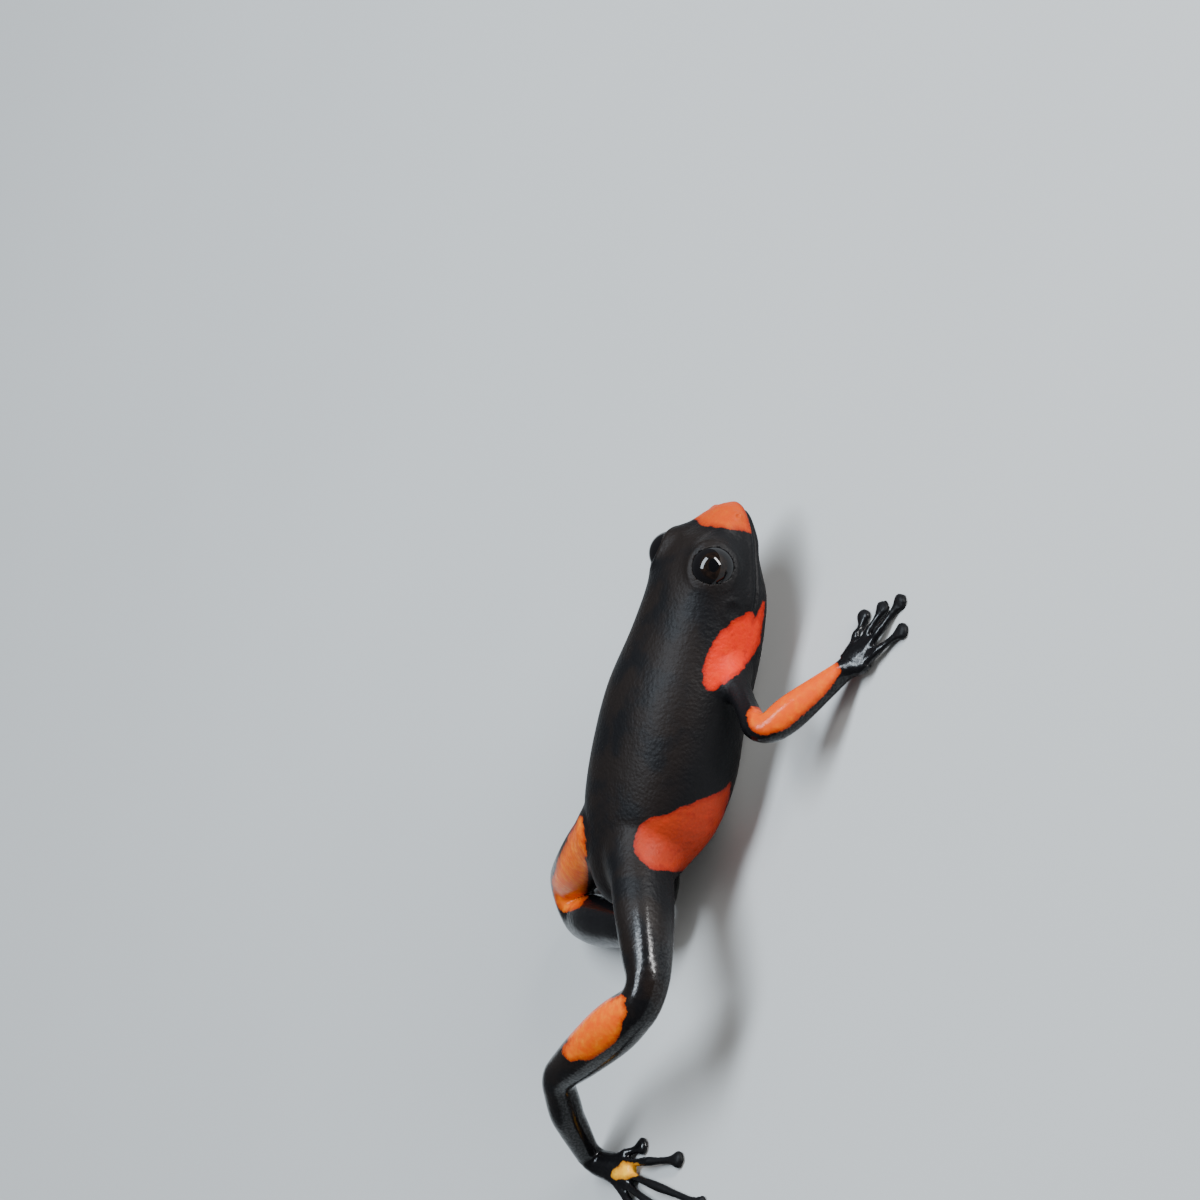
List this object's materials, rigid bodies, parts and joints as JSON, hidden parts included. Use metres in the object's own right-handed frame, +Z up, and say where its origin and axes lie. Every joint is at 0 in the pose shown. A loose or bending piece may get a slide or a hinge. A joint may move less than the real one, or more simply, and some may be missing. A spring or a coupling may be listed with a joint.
{
  "type": "harlequin poison frog model",
  "caption": "Still life-size harlequin poison frog, glossy black with orange-red patches, stretched as if climbing with one hind leg trailing, to stand flat on a floor or shelf",
  "frame": {"origin": "middle of the frog's bounding box, on the floor that its hands and feet rest on", "axes": "+Z is up, the frog faces -Y, and its left side is +X; the pictured side is its right side, -X"},
  "size_m": [0.0396, 0.0634, 0.0122],
  "materials": {
    "black_skin": "moist glossy black skin, finely grained",
    "orange_skin": "moist glossy orange-red skin",
    "eye": "wet glossy black"
  },
  "bodies": {
    "root": {"eye_left": "eye", "eye_right": "eye", "finger_left_1": "black_skin", "finger_left_2": "black_skin", "finger_left_3": "black_skin", "finger_left_4": "black_skin", "finger_right_1": "black_skin", "finger_right_2": "black_skin", "finger_right_3": "black_skin", "finger_right_4": "black_skin", "foot_left": "black_skin", "foot_right": "black_skin", "forearm_left": "orange_skin", "forearm_right": "orange_skin", "hand_left": "black_skin", "hand_right": "black_skin", "head": "black_skin", "shank_left": "black_skin", "shank_right": "black_skin", "tarsus_left": "black_skin", "tarsus_right": "black_skin", "thigh_left": "black_skin", "thigh_right": "black_skin", "toe_left_1": "black_skin", "toe_left_2": "black_skin", "toe_left_3": "black_skin", "toe_left_4": "black_skin", "toe_left_5": "black_skin", "toe_right_1": "black_skin", "toe_right_2": "black_skin", "toe_right_3": "black_skin", "toe_right_4": "black_skin", "toe_right_5": "black_skin", "torso": "black_skin", "upper_arm_left": "black_skin", "upper_arm_right": "black_skin"}
  },
  "joints": []
}
